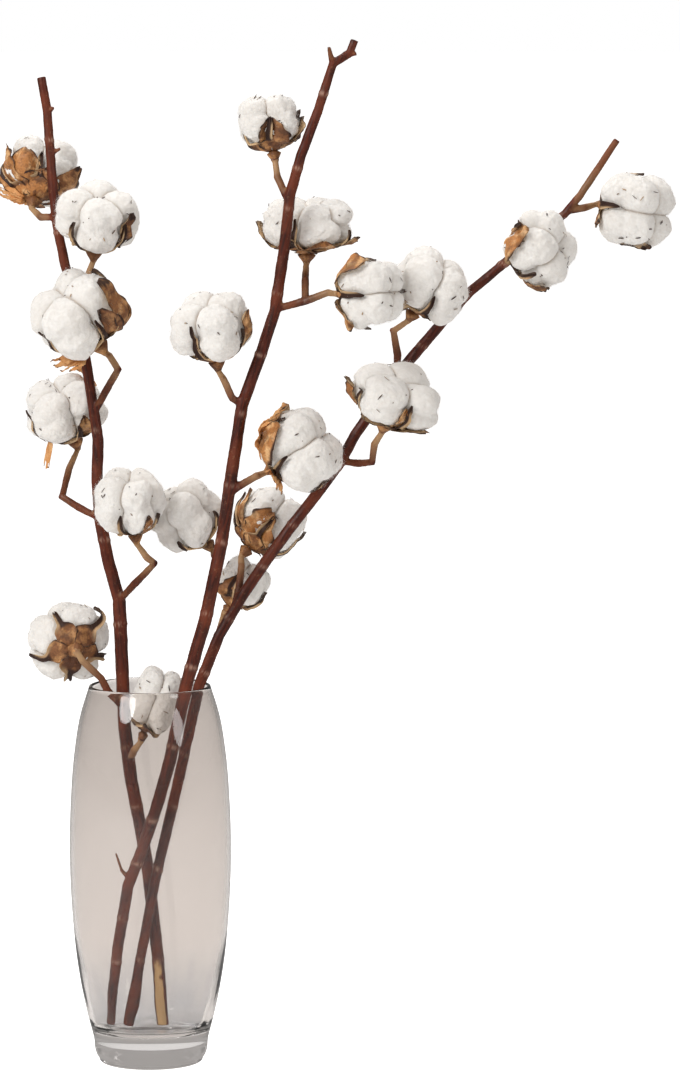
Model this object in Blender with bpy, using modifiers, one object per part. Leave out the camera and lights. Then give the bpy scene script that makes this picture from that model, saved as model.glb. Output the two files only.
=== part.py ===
"""A bunch of three cotton branches with open bolls, standing in a clear glass vase.

The vase stands on z = 0 with its axis on +Z, and -Y is the front. Routes and sizes in the
tables are in millimetres; Blender's own unit here is the metre.
"""

import math
from collections import namedtuple

import bmesh
import bpy
from mathutils import Vector

MM = 0.001
CLEARANCE = 0.3  # least space between neighbouring pieces

# The vase is turned glass: (radius, height) up its outer side.
VASE_SIDE = (
    (34.7, 0.0), (39.6, 18.0), (45.3, 41.0), (50.2, 69.0), (53.6, 104.0),
    (55.2, 145.0), (54.3, 180.0), (51.6, 214.0), (47.3, 240.0), (41.5, 260.0),
)
VASE_WALL = 2.5
VASE_FLOOR = 21.5  # height of the thick base's top
VASE_CORNER = 11.0  # radius between the floor and the wall inside
VASE_STEPS = 32
FOOT_EDGE = 1.2

# Branches: the stem's route from its cut foot to its tip, and its radius at its foot, a third
# and two thirds of the way up, and at its tip.
STEM_RADIUS = {
    "left": (4.4, 4.8, 3.7, 3.2),
    "middle": (3.8, 4.6, 4.0, 2.8),
    "right": (3.6, 4.0, 3.9, 2.4),
}
STEMS = {
    "left": (
        (8.1, 2.6, 25.0), (4.7, 7.0, 68.0), (-2.2, 13.4, 130.0), (-8.3, 17.0, 164.0),
        (-13.8, 19.8, 191.0), (-18.4, 23.4, 226.0), (-19.5, 26.2, 256.0), (-20.6, 28.3, 287.0),
        (-21.9, 29.9, 315.0), (-29.4, 31.0, 342.0), (-34.8, 32.0, 370.0), (-36.8, 33.0, 397.0),
        (-36.0, 34.2, 425.0), (-40.0, 35.5, 452.0), (-45.4, 37.0, 486.0), (-50.1, 38.4, 517.0),
        (-58.2, 39.7, 544.0), (-63.6, 41.0, 571.0), (-66.2, 42.2, 595.0), (-68.2, 43.5, 622.0),
        (-70.1, 44.9, 650.0), (-74.1, 46.0, 672.0),
    ),
    "middle": (
        (-28.6, 0.0, 26.2), (-22.2, -5.1, 81.0), (-15.0, -8.7, 123.0), (-5.3, -10.8, 148.0),
        (5.2, -13.6, 179.0), (14.2, -16.3, 211.0), (25.2, -20.0, 262.0), (38.4, -21.9, 307.0),
        (50.1, -24.8, 362.0), (57.1, -27.5, 410.0), (63.9, -29.9, 454.0), (77.5, -32.0, 491.0),
        (86.2, -33.6, 518.0), (92.4, -35.9, 559.0), (96.4, -38.3, 595.5), (103.8, -40.0, 622.0),
        (115.2, -41.9, 652.0), (125.1, -43.9, 683.0), (136.4, -43.0, 690.0), (139.4, -42.0, 698.5),
    ),
    "right": (
        (-15.3, 2.5, 25.2), (-6.1, 2.1, 76.0), (3.0, 1.7, 125.0), (12.1, 1.2, 163.0),
        (20.2, 0.8, 198.0), (27.0, 0.4, 229.0), (33.4, 0.0, 259.0), (47.4, 0.5, 294.0),
        (63.8, 1.0, 322.0), (80.1, 1.5, 346.0), (99.2, 2.0, 372.0), (116.2, 2.8, 393.5),
        (129.8, 3.4, 412.0), (140.0, 4.1, 431.0), (157.0, 4.9, 455.0), (173.9, 5.9, 478.0),
        (197.6, 7.1, 505.5), (217.9, 8.1, 528.0), (245.7, 9.1, 551.0), (265.3, 9.7, 566.0),
        (282.2, 10.2, 581.0), (292.3, 10.7, 593.0), (317.2, 12.0, 630.5),
    ),
}

# Open bolls: centre of the lint, the way its open end faces, half its width and half its
# depth, how many locks of lint it has, and the angle of the first lock from the front.
Boll = namedtuple("Boll", "branch centre facing width depth locks turn")
BOLLS = {
    "01": Boll("left", (-76.6, 75.0, 604.4), (0.17, 0.67, 0.72), 27.0, 24.0, 4, 45),
    "02": Boll("left", (-35.5, 22.0, 575.6), (0.10, -0.37, 0.92), 29.0, 24.0, 4, 10),
    "03": Boll("left", (-47.7, 0.5, 512.3), (-0.50, -0.43, 0.75), 31.0, 28.0, 4, -25),
    "04": Boll("left", (-59.9, 63.0, 442.0), (-0.26, -0.36, 0.89), 28.5, 24.0, 4, -30),
    "05": Boll("left", (-12.5, -8.0, 385.6), (-0.12, -0.39, 0.91), 25.0, 25.5, 4, 25),
    "06": Boll("middle", (25.1, 26.0, 372.6), (-0.55, -0.30, 0.78), 25.0, 25.0, 4, 10),
    "07": Boll("left", (-57.3, 36.0, 285.1), (-0.26, 0.96, 0.13), 29.0, 23.0, 5, 0),
    "08": Boll("left", (3.4, 4.0, 248.4), (0.33, -0.10, 0.94), 17.5, 25.0, 4, 45),
    "09": Boll("middle", (82.6, -24.0, 642.2), (-0.15, 0.20, 0.97), 24.0, 20.0, 4, 45),
    "10": Boll("middle", (108.2, 2.0, 573.0), (0.05, -0.15, 0.98), 32.0, 20.0, 5, 15),
    "11": Boll("middle", (43.4, -38.0, 505.8), (-0.15, -0.30, 0.94), 28.5, 24.0, 4, 20),
    "12": Boll("middle", (150.4, -58.0, 531.1), (0.80, -0.55, 0.05), 24.5, 22.0, 4, 45),
    "13": Boll("right", (190.3, -23.0, 533.5), (0.50, -0.30, 0.81), 27.0, 23.0, 4, -30),
    "14": Boll("right", (166.1, -33.0, 459.2), (0.30, -0.35, 0.88), 33.0, 21.0, 4, -20),
    "15": Boll("right", (264.2, -22.0, 558.3), (0.75, -0.60, 0.25), 27.0, 22.0, 4, -15),
    "16": Boll("right", (329.0, 0.0, 583.6), (0.75, -0.60, -0.10), 27.0, 25.0, 4, 40),
    "17": Boll("middle", (103.5, -31.0, 423.5), (0.75, -0.35, 0.50), 31.0, 24.0, 4, 45),
    "18": Boll("right", (80.4, 34.0, 367.4), (0.60, 0.30, 0.72), 25.0, 24.0, 4, 45),
    "19": Boll("right", (62.7, 36.0, 325.0), (0.50, 0.20, 0.80), 18.5, 19.0, 4, 30),
}

# Twigs: from a point inside the stem, by way of the knees, to the boll's base.
TWIG_RADIUS = (2.4, 1.9)
TWIGS = {
    "01": ((-65.0, 41.3, 577.0), (-75.0, 46.0, 576.5)),
    "02": ((-52.0, 38.8, 523.0), (-44.5, 34.5, 532.0)),
    "03": ((-38.6, 35.0, 443.0), (-29.5, 26.5, 460.0), (-21.2, 15.0, 474.5), (-27.0, 13.5, 484.0)),
    "04": ((-35.0, 32.1, 371.0), (-48.8, 38.0, 377.3), (-61.5, 47.0, 384.2), (-57.5, 60.0, 402.0)),
    "05": ((-21.9, 30.0, 314.5), (-9.0, 18.0, 329.0), (3.5, 5.0, 343.0), (-1.6, 2.5, 347.0)),
    "06": ((47.6, -24.3, 351.0), (46.0, -8.0, 348.5), (44.0, 14.0, 347.0)),
    "07": ((-19.2, 24.8, 240.0), (-29.4, 17.0, 253.5), (-33.8, 14.0, 262.8), (-46.5, 9.0, 275.5)),
    "08": ((-15.5, 21.2, 203.0), (-11.5, 11.0, 213.0)),
    "09": ((95.8, -38.0, 590.0), (88.0, -33.0, 607.0)),
    "10": ((106.6, -36.0, 525.0), (106.4, -26.0, 538.0)),
    "11": ((64.0, -29.9, 454.0), (57.3, -32.0, 459.0), (51.5, -33.0, 472.0)),
    "12": ((87.0, -33.8, 519.0), (106.6, -36.0, 524.5), (121.5, -41.5, 530.5)),
    "13": ((168.0, 5.6, 470.0), (168.8, 1.0, 485.0), (165.8, -7.0, 502.5)),
    "14": ((131.0, 3.5, 413.0), (142.0, -2.0, 412.0), (151.5, -8.0, 413.5), (153.0, -12.0, 426.0)),
    "15": ((240.0, 9.0, 546.5), (243.5, 3.0, 549.0)),
    "16": ((283.6, 10.3, 582.5), (295.0, 12.5, 584.5)),
    "17": ((54.8, -26.5, 393.0), (61.1, -27.5, 398.7), (74.0, -26.0, 406.0)),
    "18": ((57.0, 0.8, 311.0), (61.0, 8.0, 326.0), (62.5, 14.0, 340.0)),
    "19": ((44.0, 0.3, 286.0), (47.0, 12.0, 294.0)),
}

# Short snags on the stems, which end in the air: branch, route, radius at both ends.
SNAGS = (
    ("left", ((-69.9, 44.8, 648.0), (-65.4, 42.0, 651.5)), (2.2, 1.3)),
    ("left", ((-68.0, 43.4, 620.0), (-61.2, 42.0, 623.5)), (2.4, 1.0)),
    ("middle", ((125.0, -43.8, 682.0), (123.4, -45.5, 689.0), (122.4, -46.3, 694.0)), (2.4, 1.2)),
    ("middle", ((134.5, -43.2, 689.0), (140.8, -44.8, 689.6)), (2.0, 1.4)),
    ("middle", ((-13.4, -9.1, 127.0), (-19.2, -11.8, 134.0), (-22.9, -14.0, 146.3)), (1.7, 0.9)),
    ("right", ((130.8, 3.5, 414.0), (124.8, 0.8, 417.5)), (2.4, 1.6)),
)
KNEE_BULGE = 1.22  # a twig is this much thicker at its knees

LOCK_SEGMENTS = 4  # facets around one lock of lint
LINT_RINGS = 8
BUR_RINGS = 6
GROOVE = 0.17  # depth of the grooves between the locks, against the radius
CROWN_DIP = 0.16
BUR_GAP = (0.06, 0.18)  # lint to bur, against half the boll's width: under a lock, up a valve
BUR_THICKNESS = 1.3
BUR_REACH = (math.radians(48), math.radians(98))  # under a lock, and at a valve's tip
VALVE_FLARE = 2.2  # how far a valve's tip stands off the lint

# Dry fringed bracts: boll, angle around it, spread, polar angles of its root and its end,
# and how far the end stands off.
Bract = namedtuple("Bract", "boll around spread root end flare")
BRACTS = {
    "bract_01": Bract("01", -125, 32, 160, 104, 2.0),
    "bract_03": Bract("03", -58, 26, 146, 108, 7.0),
    "bract_04_upper": Bract("04", 125, 24, 84, 24, 5.0),
    "bract_04_lower": Bract("04", -66, 11, 130, 142, 19.0),
    "bract_17_upper": Bract("17", -82, 38, 158, 78, 4.0),
    "bract_17_lower": Bract("17", 16, 24, 158, 116, 6.0),
}
BRACT_GRID = (6, 5)
BRACT_THICKNESS = 0.8
BRACT_FRINGE = 0.16

COLOURS = {
    "glass": (0.80, 0.77, 0.74, 1.0),
    "bark": (0.165, 0.035, 0.018, 1.0),
    "bur": (0.24, 0.11, 0.045, 1.0),
    "lint": (0.88, 0.86, 0.82, 1.0),
    "bract": (0.52, 0.27, 0.09, 1.0),
}
ROUGHNESS = {"glass": 0.05, "bark": 0.45, "bur": 0.7, "lint": 0.95, "bract": 0.8}

FRONT = Vector((0, -1, 0))


def clear_scene():
    for obj in list(bpy.data.objects):
        bpy.data.objects.remove(obj, do_unlink=True)


def material(slot):
    made = bpy.data.materials.new(slot)
    made.use_nodes = True
    shader = made.node_tree.nodes["Principled BSDF"]
    shader.inputs["Base Color"].default_value = COLOURS[slot]
    shader.inputs["Roughness"].default_value = ROUGHNESS[slot]
    shader.inputs["Metallic"].default_value = 0.0
    if slot == "glass":
        shader.inputs["Transmission Weight"].default_value = 1.0
        shader.inputs["IOR"].default_value = 1.5
    return made


def new_object(name, mesh, collection, surface):
    obj = bpy.data.objects.new(name, mesh)
    mesh.materials.append(surface)
    collection.objects.link(obj)
    return obj


def smooth_route(points, cuts):
    """Points along a Catmull-Rom curve, with each span divided into so many cuts."""
    points = [Vector(p) for p in points]
    ends = [2 * points[0] - points[1], *points, 2 * points[-1] - points[-2]]
    route = []
    for before, start, end, after in zip(ends, ends[1:], ends[2:], ends[3:]):
        for i in range(cuts):
            t = i / cuts
            route.append(
                0.5 * (2 * start + (end - before) * t
                       + (2 * before - 5 * start + 4 * end - after) * t**2
                       + (3 * start - before - 3 * end + after) * t**3)
            )
    return [*route, points[-1]]


def vase(collection, surface):
    """Turned from one closed profile: floor, inner side, rim, outer side, foot."""
    outer = list(VASE_SIDE)
    corner = (VASE_SIDE[1][0] - VASE_WALL - VASE_CORNER + 1.5, VASE_FLOOR + VASE_CORNER)
    profile = [(0.0, VASE_FLOOR)]
    for step in range(5):
        angle = math.radians(-90 + 18 * step)
        profile.append((corner[0] + VASE_CORNER * math.cos(angle),
                        corner[1] + VASE_CORNER * math.sin(angle)))
    profile += [(r - VASE_WALL, z) for r, z in outer if z > corner[1] + 4 and z < VASE_SIDE[-1][1]]
    rim_r, rim_z = VASE_SIDE[-1]
    profile += [(rim_r - VASE_WALL, rim_z - 0.9), (rim_r - VASE_WALL / 2, rim_z), (rim_r, rim_z - 0.9)]
    profile += [(r, z) for r, z in reversed(outer[:-1]) if z > FOOT_EDGE]
    profile += [(VASE_SIDE[0][0], FOOT_EDGE), (VASE_SIDE[0][0] - FOOT_EDGE, 0.0), (0.0, 0.0)]

    mesh = bpy.data.meshes.new("glass_vase")
    corners = [(r * MM, 0, z * MM) for r, z in profile]
    mesh.from_pydata(corners, [(i, i + 1) for i in range(len(corners) - 1)], [])
    obj = new_object("glass_vase", mesh, collection, surface)
    turn = obj.modifiers.new("turn", "SCREW")
    turn.steps = turn.render_steps = VASE_STEPS
    turn.use_merge_vertices = True
    turn.merge_threshold = 0.0001
    turn.use_smooth_shade = True
    return obj


def tube(name, points, radii, collection):
    """A round rod along the points, as a closed mesh."""
    curve = bpy.data.curves.new("rod", "CURVE")
    curve.dimensions = "3D"
    curve.bevel_depth = MM
    curve.bevel_resolution = 2
    curve.use_fill_caps = True
    line = curve.splines.new("POLY")
    line.points.add(len(points) - 1)
    for spot, place, radius in zip(line.points, points, radii):
        spot.co = (*(place * MM), 1.0)
        spot.radius = radius
    rod = bpy.data.objects.new("rod", curve)
    collection.objects.link(rod)
    graph = bpy.context.evaluated_depsgraph_get()
    mesh = bpy.data.meshes.new_from_object(rod.evaluated_get(graph))
    obj = bpy.data.objects.new(name, mesh)
    obj.matrix_world = rod.matrix_world
    bpy.data.objects.remove(rod, do_unlink=True)
    bm = bmesh.new()
    bm.from_mesh(mesh)
    bmesh.ops.remove_doubles(bm, verts=bm.verts, dist=0.00001)
    bm.to_mesh(mesh)
    bm.free()
    collection.objects.link(obj)
    return obj


def taper(count, radii):
    """A radius for each point, between radii that are evenly spaced along the rod."""
    last = len(radii) - 1
    found = []
    for i in range(count):
        share = i / (count - 1) * last
        step = min(int(share), last - 1)
        found.append(radii[step] + (radii[step + 1] - radii[step]) * (share - step))
    return found


def twig_route(label):
    """The twig's points, which end just short of the base of its boll's bur."""
    boll = BOLLS[label]
    facing = Vector(boll.facing).normalized()
    base = boll.depth + BUR_GAP[0] * boll.width + BUR_THICKNESS + 2 * CLEARANCE
    end = Vector(boll.centre) - base * facing
    return [*(Vector(p) for p in TWIGS[label]), end - 3 * facing, end]


def twig_radii(count):
    """Thicker at the knees, and widest where the boll sits on it."""
    radii = taper(count, TWIG_RADIUS)
    for i in range(1, count - 2):
        radii[i] *= KNEE_BULGE
    radii[-1] = TWIG_RADIUS[0] * 1.25
    return radii


def branch(side, collection, helpers, surface):
    """The stem with its twigs and snags joined to it, as one grown piece."""
    route = smooth_route(STEMS[side], 1)
    stem = tube(f"{side}_branch", route, taper(len(route), STEM_RADIUS[side]), collection)
    grown = []
    for label, boll in BOLLS.items():
        if boll.branch == side:
            points = twig_route(label)
            grown.append(tube(f"twig_{label}", points, twig_radii(len(points)), helpers))
    for number, (owner, points, ends) in enumerate(SNAGS):
        if owner == side:
            places = [Vector(p) for p in points]
            grown.append(tube(f"snag_{number}", places, taper(len(places), ends), helpers))
    for piece in grown:
        piece.hide_render = True
        piece.display_type = "WIRE"
        join = stem.modifiers.new(piece.name, "BOOLEAN")
        join.operation = "UNION"
        join.solver = "EXACT"
        join.object = piece
    stem.data.materials.append(surface)
    stem.data.shade_smooth()
    return stem


def lobe(boll, around):
    """1 along the middle of a lock, 0 in the groove between two."""
    return abs(math.cos(boll.locks * (around - math.radians(boll.turn)) / 2))


def lint_radius(boll, polar, around):
    """From the boll's centre to its lint: a squat ball, grooved, dipped at its open end."""
    ball = 1 / math.hypot(math.sin(polar) / boll.width, math.cos(polar) / boll.depth)
    groove = GROOVE * (1 - lobe(boll, around)) ** 1.5 * math.sin(polar) ** 0.7
    dip = CROWN_DIP * math.exp(-((polar / 0.55) ** 2))
    return ball * (1 - groove) * (1 - dip)


def boll_axes(boll):
    """The boll's front, side and facing directions."""
    facing = Vector(boll.facing).normalized()
    front = (FRONT - FRONT.dot(facing) * facing).normalized()
    return front, facing.cross(front), facing


def boll_point(boll, radius, polar, around):
    front, side, facing = boll_axes(boll)
    across = math.cos(around) * front + math.sin(around) * side
    offset = math.sin(polar) * across + math.cos(polar) * facing
    return (Vector(boll.centre) + radius * offset) * MM


def angles_of(vertex):
    """Polar and round angles of a vertex of a ball about the origin."""
    return math.acos(max(-1.0, min(1.0, vertex.z))), math.atan2(vertex.y, vertex.x)


def ball_of(boll, rings):
    """A unit UV sphere whose facets line up with the boll's locks."""
    bm = bmesh.new()
    bmesh.ops.create_uvsphere(bm, u_segments=LOCK_SEGMENTS * boll.locks, v_segments=rings, radius=1)
    turn = math.radians(boll.turn)
    for vertex in bm.verts:
        x, y = vertex.co.x, vertex.co.y
        vertex.co.x = x * math.cos(turn) - y * math.sin(turn)
        vertex.co.y = x * math.sin(turn) + y * math.cos(turn)
    return bm


def lint(label, collection, surface):
    boll = BOLLS[label]
    bm = ball_of(boll, LINT_RINGS)
    for vertex in bm.verts:
        polar, around = angles_of(vertex.co)
        vertex.co = boll_point(boll, lint_radius(boll, polar, around), polar, around)
    mesh = bpy.data.meshes.new(f"lint_{label}")
    bm.to_mesh(mesh)
    bm.free()
    mesh.shade_smooth()
    return new_object(f"lint_{label}", mesh, collection, surface)


def bur(label, collection, surface):
    """The dry cup under the lint, with a pointed valve up each groove."""
    boll = BOLLS[label]
    bm = ball_of(boll, BUR_RINGS)
    upper = [v for v in bm.verts if v.co.z > 0.01]
    bmesh.ops.delete(bm, geom=upper, context="VERTS")
    for vertex in bm.verts:
        polar, around = angles_of(vertex.co)
        share = (math.pi - polar) / (math.pi / 2)
        valve = (1 - lobe(boll, around)) ** 1.5
        reach = BUR_REACH[0] + (BUR_REACH[1] - BUR_REACH[0]) * valve
        polar = math.pi - share * reach
        gap = BUR_GAP[0] + (BUR_GAP[1] - BUR_GAP[0]) * valve * min(1.0, 2 * share)
        stand_off = gap * boll.width + VALVE_FLARE * valve * share**3
        radius = lint_radius(boll, polar, around) + stand_off
        vertex.co = boll_point(boll, radius, polar, around)
    mesh = bpy.data.meshes.new(f"bur_{label}")
    bm.to_mesh(mesh)
    bm.free()
    mesh.shade_smooth()
    obj = new_object(f"bur_{label}", mesh, collection, surface)
    shell = obj.modifiers.new("shell", "SOLIDIFY")
    shell.thickness = BUR_THICKNESS * MM
    shell.offset = 1.0
    return obj


def bract(name, collection, surface):
    """A leaf that lies along the outside of the bur and ends in a fringe."""
    leaf = BRACTS[name]
    boll = BOLLS[leaf.boll]
    bm = bmesh.new()
    bmesh.ops.create_grid(bm, x_segments=BRACT_GRID[0], y_segments=BRACT_GRID[1], size=1)
    teeth = 2 / BRACT_GRID[0]
    for vertex in bm.verts:
        across, along = vertex.co.x, (vertex.co.y + 1) / 2
        tooth = 1 - BRACT_FRINGE * (round((across + 1) / teeth) % 2) * along**3
        width = 0.35 + 0.65 * math.sin(math.pi * min(1.0, 0.15 + 0.7 * along))
        polar = math.radians(leaf.root + (leaf.end - leaf.root) * along * tooth)
        around = math.radians(leaf.around + leaf.spread * across * width / math.sin(polar) * 0.8)
        ball = 1 / math.hypot(math.sin(polar) / boll.width, math.cos(polar) / boll.depth)
        stand_off = BUR_GAP[1] * boll.width + VALVE_FLARE + BUR_THICKNESS
        vertex.co = boll_point(boll, ball + stand_off + leaf.flare * along**2, polar, around)
    mesh = bpy.data.meshes.new(name)
    bm.to_mesh(mesh)
    bm.free()
    mesh.shade_smooth()
    obj = new_object(name, mesh, collection, surface)
    shell = obj.modifiers.new("shell", "SOLIDIFY")
    shell.thickness = BRACT_THICKNESS * MM
    shell.offset = 0.0
    return obj


def main():
    clear_scene()
    parts = bpy.data.collections.new("cotton_stem_bunch")
    helpers = bpy.data.collections.new("joined_twigs")
    bpy.context.scene.collection.children.link(parts)
    bpy.context.scene.collection.children.link(helpers)
    surfaces = {slot: material(slot) for slot in COLOURS}
    vase(parts, surfaces["glass"])
    for side in STEMS:
        branch(side, parts, helpers, surfaces["bark"])
    for label in BOLLS:
        lint(label, parts, surfaces["lint"])
        bur(label, parts, surfaces["bur"])
    for name in BRACTS:
        bract(name, parts, surfaces["bract"])


main()
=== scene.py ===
"""Finished surfaces for a bunch of cotton branches in a glass vase.

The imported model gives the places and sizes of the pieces. Each boll's centre, axes and count of
locks are read back from its plain solid, and the fine shape is grown around them.
Lengths are metres, except for names that end in _MM and where a comment says millimetres.
"""

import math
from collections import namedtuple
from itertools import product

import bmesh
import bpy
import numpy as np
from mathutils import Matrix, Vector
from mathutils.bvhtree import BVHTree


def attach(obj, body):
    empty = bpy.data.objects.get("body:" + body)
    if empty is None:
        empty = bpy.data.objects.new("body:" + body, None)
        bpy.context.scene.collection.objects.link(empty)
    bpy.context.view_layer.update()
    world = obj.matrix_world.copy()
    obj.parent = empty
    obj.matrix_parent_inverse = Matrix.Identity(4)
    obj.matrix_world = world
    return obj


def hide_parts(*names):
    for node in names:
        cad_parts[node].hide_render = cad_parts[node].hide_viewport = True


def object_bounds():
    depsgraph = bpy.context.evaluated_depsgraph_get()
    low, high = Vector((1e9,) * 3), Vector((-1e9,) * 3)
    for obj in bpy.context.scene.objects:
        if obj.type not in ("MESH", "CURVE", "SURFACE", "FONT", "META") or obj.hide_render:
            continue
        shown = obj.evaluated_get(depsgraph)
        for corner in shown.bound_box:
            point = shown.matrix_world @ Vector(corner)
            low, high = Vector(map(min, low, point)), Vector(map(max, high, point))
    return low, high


bl_info = {
    "name": "Cotton Stem Bunch",
    "version": (1, 0, 0),
    "blender": (4, 5, 0),
    "location": "View3D > Sidebar > Cotton",
    "description": "Grows open bolls, branches, burs and a glass vase around a packed model",
    "category": "Object",
}

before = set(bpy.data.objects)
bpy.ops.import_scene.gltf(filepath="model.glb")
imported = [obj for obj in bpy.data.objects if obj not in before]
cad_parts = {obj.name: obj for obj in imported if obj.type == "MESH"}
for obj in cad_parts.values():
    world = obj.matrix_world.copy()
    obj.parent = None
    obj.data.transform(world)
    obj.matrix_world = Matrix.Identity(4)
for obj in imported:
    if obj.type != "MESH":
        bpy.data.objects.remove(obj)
CAD_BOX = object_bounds()
LABELS = sorted(name[-2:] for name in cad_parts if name.startswith("lint_"))
SIDES = ("left", "middle", "right")
BRACTS = sorted(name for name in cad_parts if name.startswith("bract_"))

MM = 0.001
FRONT = np.array([0.0, -1.0, 0.0])
CROWN_DIP = 0.16  # share of its half depth by which the plain lint is dipped at its open end


# ---- numbers and noise

def smoothstep(low, high, value):
    """Goes smoothly from 0 to 1 as the value goes from low to high."""
    share = np.clip((value - low) / (high - low), 0.0, 1.0)
    return share * share * (3 - 2 * share)


def lattice(cell, seed):
    """A repeatable number from -1 to 1 for each whole-number place."""
    x, y, z = (cell[:, i].astype(np.uint64) for i in range(3))
    mixed = x * np.uint64(374761393) + y * np.uint64(668265263) + z * np.uint64(2246822519)
    mixed = (mixed + np.uint64(seed * 3266489917)) & np.uint64(0xFFFFFFFF)
    mixed = ((mixed ^ (mixed >> np.uint64(15))) * np.uint64(2654435761)) & np.uint64(0xFFFFFFFF)
    mixed = ((mixed ^ (mixed >> np.uint64(13))) * np.uint64(1274126177)) & np.uint64(0xFFFFFFFF)
    return (mixed ^ (mixed >> np.uint64(16))).astype(float) / 0x7FFFFFFF - 1.0


def noise(points, size, seed=0):
    """Smooth noise of about -1 to 1, with lumps of the given size."""
    scaled = points / size + 1000.0
    cell = np.floor(scaled)
    part = scaled - cell
    part = part * part * (3 - 2 * part)
    cell = cell.astype(np.int64)
    total = np.zeros(len(points))
    for corner in product((0, 1), repeat=3):
        share = np.prod(np.where(np.array(corner) == 1, part, 1 - part), axis=1)
        total += share * lattice(cell + np.array(corner), seed)
    return total


def layered(points, size, layers, seed=0):
    """Noise on noise, each layer half the size and half the height of the last."""
    total = np.zeros(len(points))
    for layer in range(layers):
        total += noise(points, size / 2**layer, seed + 31 * layer) / 2**layer
    return total


def unit(vectors):
    return vectors / np.maximum(np.linalg.norm(vectors, axis=-1, keepdims=True), 1e-12)


# ---- meshes

class Batch:
    """Corners, faces and numbers for each corner, piled up into one mesh."""

    def __init__(self, *marks):
        self.points = []
        self.faces = []
        self.marks = {mark: [] for mark in marks}
        self.count = 0

    def add(self, points, *faces, **marks):
        """faces are whole-number arrays, one row for each face."""
        self.points.append(points)
        self.faces += [part + self.count for part in faces if len(part)]
        for mark, values in self.marks.items():
            values.append(np.broadcast_to(np.asarray(marks.get(mark, 0.0), float), len(points)))
        self.count += len(points)

    def mesh(self, name):
        points = np.concatenate(self.points).astype(np.float32)
        corners = np.concatenate([part.ravel() for part in self.faces]).astype(np.int32)
        sizes = np.concatenate([np.full(len(part), part.shape[1]) for part in self.faces])
        mesh = bpy.data.meshes.new(name)
        mesh.vertices.add(len(points))
        mesh.vertices.foreach_set("co", points.ravel())
        mesh.loops.add(len(corners))
        mesh.loops.foreach_set("vertex_index", corners)
        mesh.polygons.add(len(sizes))
        mesh.polygons.foreach_set("loop_start", (np.cumsum(sizes) - sizes).astype(np.int32))
        mesh.update(calc_edges=True)
        for mark, values in self.marks.items():
            layer = mesh.attributes.new(mark, "FLOAT", "POINT")
            layer.data.foreach_set("value", np.concatenate(values).astype(np.float32))
        mesh.shade_smooth()
        return mesh

    def build(self, name, surface):
        """The finished piece, which rides on the bunch's one body."""
        piece = bpy.data.objects.new(name, self.mesh(name))
        piece.data.materials.append(surface)
        bpy.context.scene.collection.objects.link(piece)
        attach(piece, "root")
        return piece


def grid_faces(rows, columns, closed=False):
    """Quads of a grid whose corners are numbered row by row."""
    last = columns if closed else columns - 1
    row, column = np.meshgrid(np.arange(rows - 1), np.arange(last), indexing="ij")
    here = (row * columns + column).ravel()
    beside = (row * columns + (column + 1) % columns).ravel()
    return np.stack([here, beside, beside + columns, here + columns], axis=1)


def add_sheet(batch, grid, thickness, **marks):
    """A closed thin sheet: the grid, the same grid set back by the thickness, and its edges."""
    rows, columns = grid.shape[:2]
    normal = unit(np.cross(np.gradient(grid, axis=1), np.gradient(grid, axis=0)))
    back = grid - normal * np.asarray(thickness)[..., None]
    points = np.concatenate([grid.reshape(-1, 3), back.reshape(-1, 3)])
    face = grid_faces(rows, columns)
    number = np.arange(rows * columns).reshape(rows, columns)
    rim = np.concatenate([number[0, :], number[1:, -1], number[-1, -2::-1], number[-2:0:-1, 0]])
    after = np.roll(rim, -1)
    total = rows * columns
    edge = np.stack([rim, rim + total, after + total, after], axis=1)
    doubled = {mark: np.tile(np.broadcast_to(values, (rows, columns)).ravel(), 2)
               for mark, values in marks.items()}
    inner = np.repeat([0.0, 1.0], total)
    batch.add(points, face, (face + total)[:, ::-1], edge, inner=inner, **doubled)


def mesh_arrays(mesh):
    """A mesh's points, and the number of the point at each corner of its faces."""
    points = np.empty(3 * len(mesh.vertices), np.float32)
    mesh.vertices.foreach_get("co", points)
    corners = np.empty(len(mesh.loops), np.int32)
    mesh.loops.foreach_get("vertex_index", corners)
    return points.reshape(-1, 3), corners


def rings_of(radii, heights, turns, lobes=0, swell=0.0):
    """Rings of points round Z, which may swell so many times on the way round."""
    angle = np.arange(turns) * math.tau / turns
    out = 1 + swell * np.cos(angle * lobes)
    return np.stack([np.outer(radii, np.cos(angle) * out), np.outer(radii, np.sin(angle) * out),
                     np.outer(heights, np.ones(turns))], axis=-1)


def add_turned(batch, rings, ends, **marks):
    """A closed body of rings from its bottom on, with a middle point at each of its two ends."""
    rows, turns = rings.shape[:2]
    total = rows * turns
    number = np.arange(turns)
    after = (number + 1) % turns
    bottom = np.stack([np.full(turns, total), after, number], axis=1)
    top = np.stack([np.full(turns, total + 1), total - turns + number, total - turns + after], axis=1)
    batch.add(np.vstack([rings.reshape(-1, 3), ends]), grid_faces(rows, turns, closed=True), bottom,
              top, **marks)


def node_mesh(name):
    """A CAD node's corners, each once, and its triangles."""
    points, corners = mesh_arrays(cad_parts[name].data)
    merged, which = np.unique(np.round(points, 6), axis=0, return_inverse=True)
    return merged.astype(float), which.ravel()[corners].reshape(-1, 3)


def edges_of(faces):
    pairs = np.concatenate([faces[:, [i, (i + 1) % faces.shape[1]]] for i in range(faces.shape[1])])
    return np.unique(np.sort(pairs, axis=1), axis=0)


def neighbour_mean(values, edges):
    """For each corner, the mean of its neighbours' values, and how many there are."""
    count = np.bincount(edges.ravel(), minlength=len(values))
    total = np.zeros_like(values)
    np.add.at(total, edges[:, 0], values[edges[:, 1]])
    np.add.at(total, edges[:, 1], values[edges[:, 0]])
    return (total.T / np.maximum(count, 1)).T, count


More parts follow.
